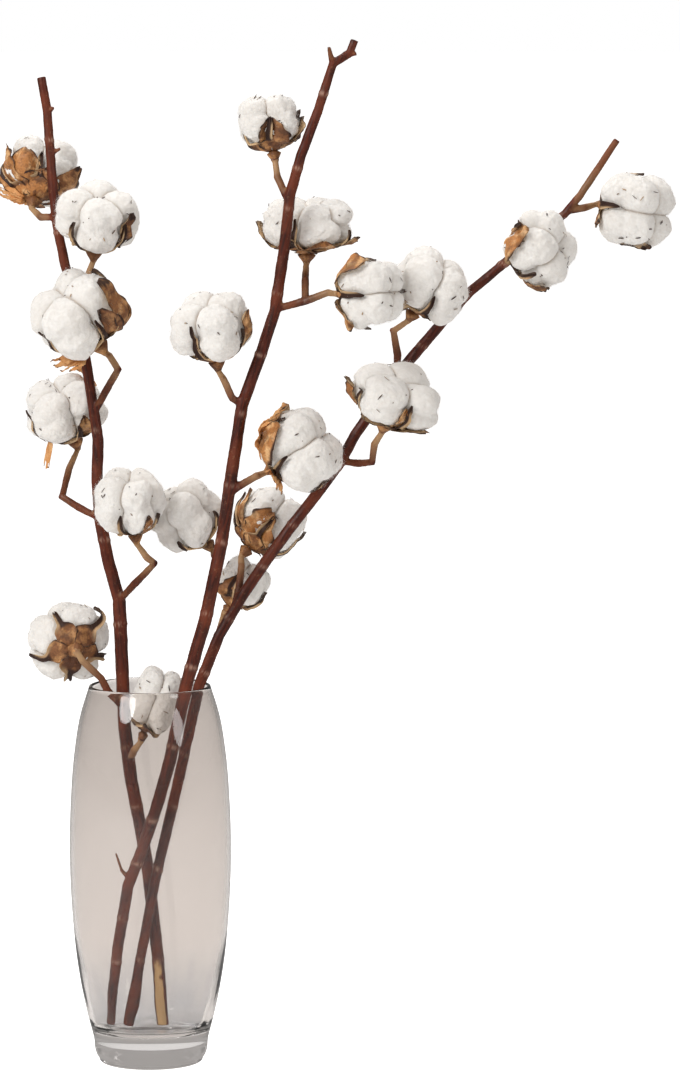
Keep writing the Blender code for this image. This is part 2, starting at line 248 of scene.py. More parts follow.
def relaxed(points, edges, rounds, keep=0.53):
    """Evened out without shrinking: each round smooths, then swells back."""
    for step in range(2 * rounds):
        share = 0.5 if step % 2 == 0 else -keep
        points = points + share * (neighbour_mean(points, edges)[0] - points)
    return points


def spread_over(values, edges, rounds):
    """Each corner's number, averaged with its neighbours' so many times."""
    for _ in range(rounds):
        mean, count = neighbour_mean(values, edges)
        values = (values + mean * count) / (count + 1)
    return values


def normals_of(mesh):
    normals = np.empty(3 * len(mesh.vertices), np.float32)
    mesh.vertex_normals.foreach_get("vector", normals)
    return normals.reshape(-1, 3).astype(float)


# ---- bolls, read from the frame

Boll = namedtuple("Boll", "label centre axis front side width depth locks turn")


def read_boll(label):
    """The plain lint is a ball whose two poles join the most edges, four to a lock."""
    points, faces = node_mesh(f"lint_{label}")
    joins = np.bincount(edges_of(faces).ravel())
    poles = points[np.argsort(joins)[-2:]]
    cup = node_mesh(f"bur_{label}")[0].mean(axis=0)
    base, crown = sorted(poles, key=lambda pole: np.linalg.norm(pole - cup))
    axis = unit(crown - base)
    depth = np.linalg.norm(crown - base) / (2 - CROWN_DIP)
    centre = base + depth * axis
    front = unit(FRONT - FRONT.dot(axis) * axis)
    side = np.cross(axis, front)
    offset = points - centre
    ring = offset[np.abs(offset @ axis) < 0.05 * depth]
    across = np.hypot(ring @ front, ring @ side)
    around = np.arctan2(ring @ side, ring @ front)
    locks = int(joins.max()) // 4
    turn = np.angle(np.sum((across - across.mean()) * np.exp(1j * locks * around))) / locks
    return Boll(label, centre, axis, front, side, across.max(), depth, locks, turn)


BOLLS = {label: read_boll(label) for label in LABELS}


def to_world(boll, local):
    """From shares of the boll's half width and half depth to the frame."""
    scaled = local * np.array([boll.width, boll.width, boll.depth])
    return boll.centre + scaled @ np.stack([boll.front, boll.side, boll.axis])


def heading(polar, around):
    """Directions from a boll's centre; polar is 0 at the open end."""
    polar, around = np.broadcast_arrays(polar, around)
    return np.stack([np.sin(polar) * np.cos(around), np.sin(polar) * np.sin(around),
                     np.cos(polar)], axis=-1)


PUFF_SIZE = {4: 0.50, 5: 0.44}  # of a lock's main puffs, for a boll of so many locks
LOW_PUFF = (0.50, -0.14)  # distance from the axis and height
HIGH_PUFF = (0.44, 0.37)
SMALL_PUFFS = 6
LOCK_BLEND = 0.16  # how softly the puffs of one lock run together
CREASE_BLEND = 0.05
CREASE_HALF = 0.09


def puffs_of(boll):
    """Each lock's puffs: centre and radius, in shares of the boll's size."""
    rng = np.random.default_rng([11, int(boll.label)])
    size = PUFF_SIZE[boll.locks]
    locks = []
    for number in range(boll.locks):
        around = boll.turn + math.tau * number / boll.locks + rng.normal(0, 0.05)
        swell = size * rng.uniform(0.92, 1.05)
        lift = rng.uniform(-0.06, 0.06)
        puffs = []
        for out, height in (LOW_PUFF, HIGH_PUFF):
            spin = around + rng.normal(0, 0.05)
            puffs.append((out * math.cos(spin), out * math.sin(spin), height + lift, swell))
        for _ in range(SMALL_PUFFS):
            spin = around + rng.uniform(-0.42, 0.42)
            out = rng.uniform(0.52, 0.68)
            height = rng.uniform(-0.45, 0.55)
            radius = rng.uniform(0.26, 0.36)
            out *= math.sqrt(max(0.2, 1 - 0.8 * height**2))
            puffs.append((out * math.cos(spin), out * math.sin(spin), height, radius))
        locks.append(puffs)
    return locks


def soft_max(first, second, blend):
    over = np.maximum(blend - np.abs(first - second), 0) / blend
    return np.maximum(first, second) + over * over * blend / 4


def reach_of_puff(directions, puff):
    """How far a ray from the boll's centre goes before it leaves the puff."""
    centre, radius = np.array(puff[:3]), puff[3]
    along = directions @ centre
    inside = along**2 - centre @ centre + radius**2
    return np.where(inside > 0, along + np.sqrt(np.maximum(inside, 0)), 0.0)


def lint_reach(boll, directions):
    """Distance to the lint in each direction, and how deep in a crease that lies."""
    shape = directions.shape[:-1]
    flat = directions.reshape(-1, 3)
    locks = []
    for puffs in puffs_of(boll):
        reach = reach_of_puff(flat, puffs[0])
        for puff in puffs[1:]:
            reach = soft_max(reach, reach_of_puff(flat, puff), LOCK_BLEND)
        locks.append(reach)
    locks = np.sort(np.array(locks), axis=0)
    crease = np.exp(-(locks[-1] - locks[-2]) / CREASE_HALF)
    reach = soft_max(locks[-1], locks[-2], CREASE_BLEND)
    heart = 0.86 * (0.5 - 0.5 * flat[:, 2])  # fills the base, which has no locks
    reach = soft_max(reach, heart, 0.1)
    return reach.reshape(shape), crease.reshape(shape)


# ---- shader building

def node(tree, kind, inputs=None, **settings):
    """Adds a node and gives its outputs. Each input is a value, or the output that feeds it."""
    made = tree.nodes.new(f"ShaderNode{kind}")
    for name, value in settings.items():
        setattr(made, name, value)
    for name, value in (inputs or {}).items():
        if isinstance(value, bpy.types.NodeSocket):
            tree.links.new(value, made.inputs[name])
        else:
            made.inputs[name].default_value = value
    return made.outputs


def times(tree, first, second):
    return node(tree, "Math", {0: first, 1: second}, operation="MULTIPLY", use_clamp=True)[0]


def ranged(tree, value, low, high, bottom=0.0, top=1.0):
    """Goes smoothly from bottom to top as the value goes from low to high."""
    return node(tree, "MapRange", {"Value": value, "From Min": low, "From Max": high,
                                   "To Min": bottom, "To Max": top},
                interpolation_type="SMOOTHSTEP")["Result"]


def fill_mottling(tree, place, given):
    cloud = node(tree, "TexNoise", {"Vector": place, "Scale": given["Scale"],
                                    "Detail": given["Detail"]})["Fac"]
    return {"Mask": ranged(tree, cloud, given["Low"], given["High"])}


def fill_streaks(tree, place, given):
    lean = node(tree, "VectorRotate", {"Vector": place, "Angle": given["Lean"]},
                rotation_type="Y_AXIS")["Vector"]
    stretch = node(tree, "CombineXYZ", {"X": 1.0, "Y": 1.0, "Z": given["Stretch"]})["Vector"]
    squeezed = node(tree, "VectorMath", {0: lean, 1: stretch}, operation="MULTIPLY")["Vector"]
    cloud = node(tree, "TexNoise", {"Vector": squeezed, "Scale": given["Scale"],
                                    "Detail": 3.0})["Fac"]
    return {"Height": cloud, "Mask": ranged(tree, cloud, 0.38, 0.62)}


def fill_tangle(tree, place, given):
    swirl = node(tree, "TexNoise", {"Vector": place, "Scale": 90.0, "Detail": 2.0})["Color"]
    size = node(tree, "CombineXYZ", dict.fromkeys("XYZ", given["Swirl"]))["Vector"]
    bent = node(tree, "VectorMath", {0: swirl, 1: size, 2: place}, operation="MULTIPLY_ADD")["Vector"]
    cloud = node(tree, "TexNoise", {"Vector": bent, "Scale": given["Scale"], "Detail": 4.0,
                                    "Roughness": 0.6})["Fac"]
    return {"Height": cloud, "Mask": ranged(tree, cloud, 0.35, 0.65)}


# A shader node group: its inputs with their values, its outputs and what fills it.
Effect = namedtuple("Effect", "name inputs outputs fill")

# Uneven patches: noise pushed apart by a contrast.
MOTTLING = Effect("Mottling", {"Scale": 60.0, "Detail": 4.0, "Low": 0.4, "High": 0.6}, ("Mask",),
                  fill_mottling)
# Fine ridges that run along Z, turned by the angle given as Lean.
STREAKS = Effect("Lengthwise streaks", {"Scale": 900.0, "Stretch": 0.06, "Lean": 0.0},
                 ("Height", "Mask"), fill_streaks)
# Matted fibre: noise whose place is bent by more noise, so that it runs in swirls.
TANGLE = Effect("Matted fibre", {"Scale": 500.0, "Swirl": 0.012}, ("Height", "Mask"), fill_tangle)


def group_of(effect):
    """The effect's node group, which is built the first time that it is asked for."""
    if effect.name in bpy.data.node_groups:
        return bpy.data.node_groups[effect.name]
    tree = bpy.data.node_groups.new(effect.name, "ShaderNodeTree")
    for label, value in effect.inputs.items():
        socket = tree.interface.new_socket(label, in_out="INPUT", socket_type="NodeSocketFloat")
        socket.default_value = value
    for label in effect.outputs:
        tree.interface.new_socket(label, in_out="OUTPUT", socket_type="NodeSocketFloat")
    given = tree.nodes.new("NodeGroupInput").outputs
    found = tree.nodes.new("NodeGroupOutput").inputs
    place = node(tree, "TexCoord")["Object"]
    for label, output in effect.fill(tree, place, given).items():
        tree.links.new(output, found[label])
    return tree


class Finish:
    """One Principled material, with short ways to lay colours over each other."""

    def __init__(self, name, base, roughness, **plain):
        """plain holds values of the shader's own inputs, with _ for each space in a name."""
        self.material = bpy.data.materials.new(name)
        self.material.use_nodes = True
        self.tree = self.material.node_tree
        self.shader = self.tree.nodes["Principled BSDF"]
        self.colour = (*base, 1.0)
        self.shader.inputs["Base Color"].default_value = self.colour
        self.shader.inputs["Roughness"].default_value = roughness
        for label, value in plain.items():
            self.shader.inputs[label.replace("_", " ")].default_value = value

    def mark(self, name):
        """A number that the mesh holds for each corner."""
        return node(self.tree, "Attribute", attribute_name=name)["Fac"]

    def effect(self, effect, **values):
        return node(self.tree, "Group", values, node_tree=group_of(effect))

    def mottled(self, scale, detail, low, high):
        return self.effect(MOTTLING, Scale=scale, Detail=detail, Low=low, High=high)["Mask"]

    def lay(self, colour, mask, *shares):
        """Lays a colour over what is there, where the mask times every share says."""
        for share in shares:
            mask = times(self.tree, mask, share)
        self.colour = node(self.tree, "Mix", {0: mask, 6: self.colour, 7: (*colour, 1.0)},
                           data_type="RGBA")[2]

    def bump(self, height, strength, distance, **under):
        """Fine relief, on top of the relief given as Normal."""
        return node(self.tree, "Bump", {"Height": height, "Strength": strength,
                                        "Distance": distance, **under})["Normal"]

    def done(self, **fed):
        """The material, once its varying inputs are fed; _ stands for a space in a name."""
        if isinstance(self.colour, bpy.types.NodeSocket):
            fed["Base_Color"] = self.colour
        for label, output in fed.items():
            self.tree.links.new(output, self.shader.inputs[label.replace("_", " ")])
        return self.material


# ---- vase

VASE_TURNS = 192
RIM_STEPS = 8
RIM_HALF = 1.25 * MM
PUNT = 1.6 * MM  # how far the underside is hollowed in the middle
FOOT_LAND = 4.0 * MM
FOOT_ROUND = 2.2 * MM
FLOOR_CORNER = 11 * MM
FLOOR_DISH = 0.6 * MM
WALL_RINGS = 90
LOW_WALL = 5.0 * MM  # the wall's thickness beside the floor
LOW_HEIGHTS = (32 * MM, 92 * MM)  # between these it thins to that of the rim
GLASS_RIPPLE = 0.35 * MM  # unevenness inside, low down
SHADE_HEIGHTS = (35 * MM, 85 * MM)  # between these the painted shade inside fades out
BASE_HEIGHT = 21 * MM  # outside, the painted shade on the foot ends here
# strength of the painted shade on the foot
BASE_SHADE = 0.35


def smooth_run(places, values, wanted):
    """A smooth cubic curve through the values, read at the wanted places."""
    slope = np.gradient(values, places)
    index = np.clip(np.searchsorted(places, wanted) - 1, 0, len(places) - 2)
    span = places[index + 1] - places[index]
    t = (wanted - places[index]) / span
    return ((2 * t**3 - 3 * t**2 + 1) * values[index] + (t**3 - 2 * t**2 + t) * span * slope[index]
            + (3 * t**2 - 2 * t**3) * values[index + 1] + (t**3 - t**2) * span * slope[index + 1])


def vase_sides():
    """The plain vase's outer side as heights and radii, its floor's height and its top."""
    points, _ = node_mesh("glass_vase")
    radius = np.hypot(points[:, 0], points[:, 1])
    height = np.round(points[:, 2], 4)
    levels = np.unique(height)
    widest = np.array([radius[height == level].max() for level in levels])
    walled = np.array([np.ptp(radius[height == level]) > 1 * MM for level in levels])
    floor = levels[1:][np.diff(widest) < -5 * MM].min()
    side = walled | (levels < floor)
    return levels[side], widest[side], floor, levels[-1]


def arc(across, up, radius, start, end, steps):
    """Points of a round, from one angle in degrees to another."""
    return [(across + radius * math.cos(turn), up + radius * math.sin(turn))
            for turn in np.radians(np.linspace(start, end, steps))]


def vase_profile():
    """Radius and height from the underside's middle up the outer side, over the rim and down to
    the floor's middle; which of these are inside; and the heights of the two middles."""
    levels, widest, floor, top = vase_sides()
    rim_height = top - RIM_HALF
    wall = 2 * RIM_HALF

    def outer(height):
        return float(smooth_run(levels, widest, np.array([height]))[0])

    down = [(outer(z), z) for z in np.linspace(rim_height, FOOT_ROUND, WALL_RINGS)]
    down += arc(down[-1][0] - FOOT_ROUND, FOOT_ROUND, FOOT_ROUND, -13.5, -90, 6)
    land = down[-1][0] - FOOT_LAND
    for share in np.linspace(0, 1, 8)[:-1]:
        down.append((land * (1 - share), PUNT * math.sin(share * math.pi / 2)))

    corner = outer(floor + FLOOR_CORNER) - LOW_WALL - FLOOR_CORNER
    inner = [(corner * share, floor + FLOOR_DISH * share**2) for share in np.linspace(0, 1, 6)[1:-1]]
    inner += arc(corner, floor + FLOOR_DISH + FLOOR_CORNER, FLOOR_CORNER, -90, -8, 10)
    for z in np.linspace(inner[-1][1] + 3 * MM, rim_height, WALL_RINGS):
        inner.append((outer(z) - wall - (LOW_WALL - wall) * (1 - smoothstep(*LOW_HEIGHTS, z)), z))
    inner += arc(inner[-1][0] + RIM_HALF, rim_height, RIM_HALF, 180, 0, RIM_STEPS + 2)[1:-1]
    run = np.array(inner + down)[::-1]
    return run, np.arange(len(run)) >= len(down), (PUNT, floor)


def turn_vase(settings):
    """The glass, with its ripple and painted shade low down."""
    run, inside, middles = vase_profile()
    shape = (len(run), VASE_TURNS, 3)
    points = rings_of(run[:, 0], run[:, 1], VASE_TURNS).reshape(-1, 3)
    low = np.repeat(inside * (1 - smoothstep(*SHADE_HEIGHTS, run[:, 1])), VASE_TURNS)
    ripple = GLASS_RIPPLE * low * noise(points * np.array([1, 1, 0.4]), 11 * MM, 8)
    points[:, :2] *= 1 + (ripple / np.hypot(points[:, 0], points[:, 1]))[:, None]
    # Painted shade: a streaked darkening inside low down, and an even darkening of the foot outside.
    streak = noise(points * np.array([1, 1, 0.25]), 7 * MM, 21)
    base = BASE_SHADE * np.repeat(~inside & (run[:, 1] < BASE_HEIGHT), VASE_TURNS)
    tint = np.append(np.maximum(low * (0.7 + 0.3 * streak), base), [BASE_SHADE, BASE_SHADE])
    batch = Batch("low")
    add_turned(batch, points.reshape(shape), [(0, 0, height) for height in middles], low=tint)
    piece = batch.build("turned_glass_vase", glass_finish(settings))
    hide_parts("glass_vase")


def glass_finish(settings):
    """Clear glass with a faint warm tint; lamps shine through it instead of being blocked."""
    finish = Finish("vase_glass", settings.glass_colour, 0.0, Transmission_Weight=1.0,
                    IOR=settings.glass_index, Specular_IOR_Level=0.35)
    # Painted shade: the glass turns grey-blue where the low mark says.
    finish.lay(settings.low_shade_colour, finish.mark("low"))
    tree = finish.tree
    path = node(tree, "LightPath")
    either = node(tree, "Math", {0: path["Is Shadow Ray"], 1: path["Is Diffuse Ray"]},
                  operation="MAXIMUM")[0]
    clear = node(tree, "BsdfTransparent", {"Color": (0.93, 0.92, 0.91, 1.0)})["BSDF"]
    mix = node(tree, "MixShader", {0: either, 1: finish.shader.outputs["BSDF"], 2: clear})["Shader"]
    tree.links.new(mix, tree.nodes["Material Output"].inputs["Surface"])
    return finish.done()


# ---- branches

BARK_VOXEL = 0.75 * MM
SMOOTH_ROUNDS = 7
TWIG_RADIUS = (2.1 * MM, 2.7 * MM)  # thinner than the first is a twig, over the second a stem
TAN_REACH = (6 * MM, 32 * MM)  # from a boll; the twig is tan up to the first, not past the second
SCAR_GAP = 43 * MM
SCAR_HALF = 1.5 * MM
STRIPPED_HEIGHT = 46 * MM
BASE_DEPTH = 1.15  # from a boll's centre to where its twig ends, in shares of its half depth
BASE_NEAR = 4 * MM  # a boll is on a branch if that place is this near to the wood
END_LENGTH = 20 * MM  # of the stretches at foot and top that give a branch's direction
FORK_HOLLOW = (0.004 * MM, 0.03 * MM)


def fine_branch(side):
    """The plain branch as small even faces, with its facets evened out."""
    points, faces = node_mesh(f"{side}_branch")
    plain = Batch()
    plain.add(points, faces)
    rod = bpy.data.objects.new("plain_branch", plain.mesh("plain_branch"))
    bpy.context.scene.collection.objects.link(rod)
    voxels = rod.modifiers.new("voxels", "REMESH")
    voxels.mode = "VOXEL"
    voxels.voxel_size = BARK_VOXEL
    graph = bpy.context.evaluated_depsgraph_get()
    mesh = bpy.data.meshes.new_from_object(rod.evaluated_get(graph))
    bpy.data.objects.remove(rod, do_unlink=True)
    found, corners = mesh_arrays(mesh)
    bpy.data.meshes.remove(mesh)
    quads = corners.reshape(-1, 4)
    edges = edges_of(quads)
    return relaxed(found.astype(float), edges, SMOOTH_ROUNDS), quads, edges


def half_thickness(mesh, points, normals):
    """Half the way through the wood, straight in from each corner."""
    tree = BVHTree.FromPolygons([v.co for v in mesh.vertices],
                                [tuple(p.vertices) for p in mesh.polygons])
    found = np.full(len(points), 4 * MM)
    for i, (place, normal) in enumerate(zip(points, normals)):
        inward = Vector(-normal)
        hit = tree.ray_cast(Vector(place) + inward * 0.2 * MM, inward, 20 * MM)
        if hit[3] is not None:
            found[i] = hit[3] / 2
    return found


def boll_bases(side):
    """Where bolls sit on this branch."""
    points, _ = node_mesh(f"{side}_branch")
    bases = [boll.centre - BASE_DEPTH * boll.depth * boll.axis for boll in BOLLS.values()]
    return np.array([base for base in bases
                     if np.linalg.norm(points - base, axis=1).min() < BASE_NEAR])


def dress_branch(side, settings):
    """Covers one branch with bark, and marks its scars, forks, twigs and stripped foot."""
    points, quads, edges = fine_branch(side)
    plain = Batch()
    plain.add(points, quads)
    mesh = plain.mesh("smooth_branch")
    normals = normals_of(mesh)
    half = spread_over(half_thickness(mesh, points, normals), edges, 6)
    bpy.data.meshes.remove(mesh)

    twig = 1 - smoothstep(*TWIG_RADIUS, half)
    away = np.linalg.norm(points[:, None] - boll_bases(side)[None], axis=2).min(axis=1)
    tan = twig * (1 - smoothstep(*TAN_REACH, away))

    # The hollow of each fork, where the bark is gathered and pale.
    hollow = np.einsum("ij,ij->i", neighbour_mean(points, edges)[0] - points, normals)
    fork = spread_over(smoothstep(*FORK_HOLLOW, spread_over(hollow, edges, 3)), edges, 8)
    fork = smoothstep(0.08, 0.5, fork)

    # Old leaf scars ring the stem at uneven distances.
    low, high = points.min(axis=0), points.max(axis=0)
    run = unit(points[points[:, 2] > high[2] - END_LENGTH].mean(axis=0)
               - points[points[:, 2] < low[2] + END_LENGTH].mean(axis=0))
    along = points @ run + 0.8 * MM * noise(points, 6 * MM, 5)
    rng = np.random.default_rng([29, SIDES.index(side)])
    scar = np.zeros(len(points))
    place = along.min() + SCAR_GAP
    while place < along.max() - 10 * MM:
        pale = rng.uniform(0.4, 1.0)
        scar = np.maximum(scar, pale * np.exp(-((along - place) / SCAR_HALF) ** 2))
        place += SCAR_GAP * rng.uniform(0.6, 1.5)
    scar *= 1 - twig

    # The left branch's foot has lost its bark on the front, in a wedge.
    stripped = np.zeros(len(points))
    if side == "left":
        up = (points[:, 2] - low[2]) / STRIPPED_HEIGHT
        facing = normals @ unit(np.array([-0.15, -1.0, 0.0]))
        edge = 0.45 + 0.6 * np.clip(up, 0, 1) + 0.12 * noise(points, 4 * MM, 7)
        stripped = smoothstep(edge - 0.06, edge + 0.06, facing) * (1 - smoothstep(0.85, 1.0, up))

    squeezed = points - np.outer(points @ run, run) * 0.93
    ridges = noise(squeezed, 1.3 * MM, 3)
    lumps = layered(points, 7 * MM, 3, 13)
    height = (0.10 * ridges + 0.16 * lumps) * MM
    height += (0.55 * scar + 0.35 * fork) * MM * (0.7 + 0.5 * noise(points, 2 * MM, 17))
    height -= 0.5 * stripped * MM
    height += 0.25 * twig * (1 - smoothstep(0.0, TAN_REACH[0], away)) * MM
    points = points + normals * height[:, None]

    batch = Batch("tan", "fork", "scar", "stripped", "twig")
    batch.add(points, quads, tan=tan, fork=fork, scar=scar, stripped=stripped, twig=twig)
    piece = batch.build(f"{side}_branch_bark", bark_finish(side, run, settings))
    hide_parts(f"{side}_branch")


def bark_finish(side, run, settings):
    """Satin mahogany bark with dark streaks, pale scars and forks, and tan twigs."""
    finish = Finish(f"{side}_bark", settings.bark_colour, 0.42, Specular_IOR_Level=0.28,
                    Coat_Weight=0.05, Coat_Roughness=0.3)
    lean = math.atan2(run[0], run[2])
    streaks = finish.effect(STREAKS, Scale=650.0, Stretch=0.07, Lean=-lean)
    patches = finish.mottled(45.0, 5.0, 0.42, 0.66)
    finish.lay(settings.bark_dark, streaks["Mask"], 0.75)
    finish.lay(settings.bark_light, patches, 0.55)
    finish.lay(settings.twig_colour, finish.mark("twig"), 0.5)
    finish.lay(settings.tan_colour, finish.mark("tan"), 0.8)
    finish.lay(settings.tan_colour, finish.mark("fork"), patches, 0.6)
    finish.lay(settings.scar_colour, finish.mark("scar"), streaks["Mask"], 0.85)
    finish.lay(settings.tan_colour, finish.mottled(520.0, 2.0, 0.62, 0.7), 0.12)
    finish.lay(settings.wood_colour, finish.mark("stripped"))
    return finish.done(Normal=finish.bump(streaks["Height"], 0.5, 0.4 * MM),
                       Roughness=ranged(finish.tree, patches, 0.0, 1.0, 0.42, 0.64))


# ---- lint

BALL_DIVISIONS = 7
LUMP_MM = ((13.0, 1.3), (6.0, 0.9), (2.8, 0.45), (1.3, 0.22))  # width and height of the lint's lumps
CREASE_CUT = 0.12  # how much deeper the line between two locks is cut
FIBRE_TAPER = np.array([1.0, 0.9, 0.7, 0.35])
FIBRE_SIDES = 3
LOWEST_FIBRE = -0.35  # height in its boll, in shares of the half depth, of the lowest fibres' roots
FIBRE_SINK = 0.2 * MM  # how deep in the lint a fibre starts


def unit_ball():
    """Directions of a fine geodesic ball, and its triangles."""
    ball = bmesh.new()
    bmesh.ops.create_icosphere(ball, subdivisions=BALL_DIVISIONS, radius=1.0)
    points = np.array([v.co[:] for v in ball.verts])
    faces = np.array([[v.index for v in f.verts] for f in ball.faces])
    ball.free()
    return unit(points), faces


def lint_surface(boll, directions):
    """Places on the boll's finished lint, and how deep in a crease each one is."""
    reach, crease = lint_reach(boll, directions)
    reach = reach * (1 - CREASE_CUT * crease**2)
    places = to_world(boll, directions * reach[..., None]).reshape(-1, 3)
    outward = unit(places - boll.centre)
    swell = np.zeros(len(places))
    for number, (size, height) in enumerate(LUMP_MM):
        swell += height * MM * noise(places, size * MM, 40 + number)
    swell *= 1 - 0.6 * crease.ravel()
    return places + outward * swell[:, None], crease.ravel()


def fibre_paths(roots, normals, rng, reach):
    """Curved centre lines, each of which leaves the lint, bends over and wanders; and two
    directions across each."""
    count = len(roots)
    across = unit(np.cross(normals, rng.normal(size=(count, 3))))
    beside = np.cross(normals, across)
    length = reach * rng.uniform(0.3, 1.0, count)[:, None] ** 1.6
    rise = rng.uniform(0.12, 0.75, count)[:, None]
    bend = rng.uniform(-0.5, 0.5, count)[:, None]
    paths = []
    for share in np.linspace(0, 1, len(FIBRE_TAPER)):
        paths.append(roots + length * (share * across + rise * math.sin(2.2 * share) * normals
                                       + bend * share**2 * beside) - FIBRE_SINK * normals)
    return np.stack(paths, axis=1), normals, beside


def add_fibres(batch, roots, normals, rng, reach, thickness):
    """Thin three-sided hairs, closed at both ends."""
    paths, first, second = fibre_paths(roots, normals, rng, reach)
    count, rings = paths.shape[:2]
    width = thickness * FIBRE_TAPER[None, :, None, None]
    turn = np.arange(FIBRE_SIDES) * math.tau / FIBRE_SIDES
    spokes = (np.cos(turn)[None, :, None] * first[:, None]
              + np.sin(turn)[None, :, None] * second[:, None])
    points = paths[:, :, None] + width * spokes[:, None]
    start = (np.arange(count) * rings * FIBRE_SIDES)[:, None, None]
    side = grid_faces(rings, FIBRE_SIDES, closed=True)[:, ::-1]
    last = rings * FIBRE_SIDES - 1
    caps = np.array([[0, 1, 2], [last, last - 1, last - 2]])
    batch.add(points.reshape(-1, 3), (start + side[None]).reshape(-1, 4),
              (start + caps[None]).reshape(-1, 3))


def lint_finish(settings):
    """Warm white fibre, with painted shade greying the creases between locks."""
    finish = Finish("cotton_lint", settings.lint_colour, 0.95, Subsurface_Weight=0.25,
                    Subsurface_Radius=(1.0, 0.9, 0.8), Subsurface_Scale=2 * MM,
                    Sheen_Weight=0.25, Sheen_Roughness=0.6)
    tangle = finish.effect(TANGLE, Scale=420.0, Swirl=0.012)
    finish.lay(settings.lint_shade, tangle["Mask"], 0.22)
    finish.lay(settings.lint_warm, finish.mottled(38.0, 3.0, 0.4, 0.75), 0.35)
    # Painted shade: the creases between the locks are greyed, most where the crease mark is highest.
    finish.lay(settings.crease_shade_colour, ranged(finish.tree, finish.mark("crease"), 0.4, 1.0, 0.0, 0.7))
    return finish.done(Normal=finish.bump(tangle["Height"], 0.6, 0.9 * MM))


def fibre_finish(settings):
    finish = Finish("loose_fibre", settings.lint_colour, 0.9, Sheen_Weight=0.2)
    tangle = finish.effect(TANGLE, Scale=160.0, Swirl=0.02)
    finish.lay(settings.lint_shade, tangle["Mask"], 0.25)
    return finish.done()


# ---- burs

VALVE_ROWS, VALVE_COLUMNS = 30, 13
CUP_REACH = math.radians(34)  # from the base up to the cup's edge under a lock
BUR_THICKNESS = 0.9 * MM
BLADE_HALF = 2.6 * MM  # half the width of the part of a valve that runs up its groove
BLADE_STAND_MM = 2.2  # how far that part stands off the groove's bottom
GROOVE_SEARCH = 0.32  # how far to each side, in radians, the groove may lie
SHORT_BURS = {"08": 0.5, "05": 0.85, "13": 0.85}  # bolls whose valves reach less far up

# Valves and sheets that stand out on single bolls: the angle around the boll from the front, half
# their own angle, where they start and end up from the base, how far they lie over the lint
# instead of in a groove, how far their end stands off in millimetres, and how tan they are.
Leaf = namedtuple("Leaf", "around spread start end lift flare tan")
STANDING = {
    "01": ((-28, 36, 4, 92, 1.0, 2.0, 1.0), (-72, 28, 20, 112, 1.0, 4.0, 1.0),
           (12, 34, 4, 62, 1.0, 1.5, 0.6), (58, 22, 10, 92, 1.0, 3.0, 0.35)),
    "02": ((62, 13, 40, 122, 0.6, 5.0, 0.15),),
    "03": ((36, 15, 10, 104, 1.0, 2.0, 0.30), (60, 17, 12, 128, 1.0, 2.5, 0.45),
           (92, 18, 22, 132, 0.9, 3.0, 0.35)),
    "04": ((30, 13, 18, 100, 0.8, 2.5, 0.55),),
    "05": ((22, 12, 16, 92, 0.7, 2.0, 0.55),),
    "09": ((4, 25, 8, 92, 1.0, 1.0, 0.25), (78, 20, 16, 92, 1.0, 2.5, 0.45)),
    "10": ((20, 26, 8, 80, 1.0, 2.0, 0.85), (-24, 24, 8, 76, 1.0, 1.5, 0.75),
           (62, 20, 12, 84, 1.0, 6.0, 0.60), (-82, 15, 16, 96, 1.0, 4.0, 0.75)),
    "11": ((74, 8, 40, 118, 1.0, 6.0, 0.60), (-30, 9, 30, 84, 0.9, 1.5, 0.35)),
    "12": ((-52, 24, 8, 108, 1.0, 3.5, 1.0), (44, 22, 8, 84, 1.0, 2.5, 0.9),
           (158, 17, 20, 120, 1.0, 3.0, 1.0)),
    "14": ((20, 12, 16, 112, 0.8, 2.5, 0.9), (-82, 13, 30, 104, 1.0, 6.0, 0.7),
           (-32, 24, 6, 60, 1.0, 1.5, 0.8), (60, 22, 6, 66, 1.0, 1.5, 0.7)),
    "15": ((-35, 34, 10, 118, 1.0, 2.5, 1.0), (62, 16, 30, 105, 1.0, 3.0, 0.5)),
    "16": ((22, 15, 10, 74, 1.0, 4.0, 0.5), (88, 10, 60, 130, 0.8, 4.0, 0.3)),
    "17": ((-100, 14, 20, 110, 1.0, 4.0, 1.0), (-46, 32, 8, 106, 1.0, 3.0, 1.0)),
    "18": ((-10, 30, 6, 100, 1.0, 2.0, 0.9), (-70, 26, 6, 110, 1.0, 2.5, 0.85)),
    "19": ((-20, 26, 8, 96, 1.0, 2.0, 0.5),),
}


def groove_line(boll, polar, around):
    """The lowest line between two locks near an angle: where it is and how far out it lies."""
    offsets = np.linspace(-GROOVE_SEARCH, GROOVE_SEARCH, 25)
    reach, _ = lint_reach(boll, heading(polar[:, None], around + offsets[None, :]))
    lowest = offsets[np.argmin(reach + 0.4 * offsets**2, axis=1)]
    line = around + np.convolve(np.pad(lowest, 4, mode="edge"), np.ones(9) / 9, mode="valid")
    reach, _ = lint_reach(boll, heading(polar, line))
    return line[:, None], reach[:, None]


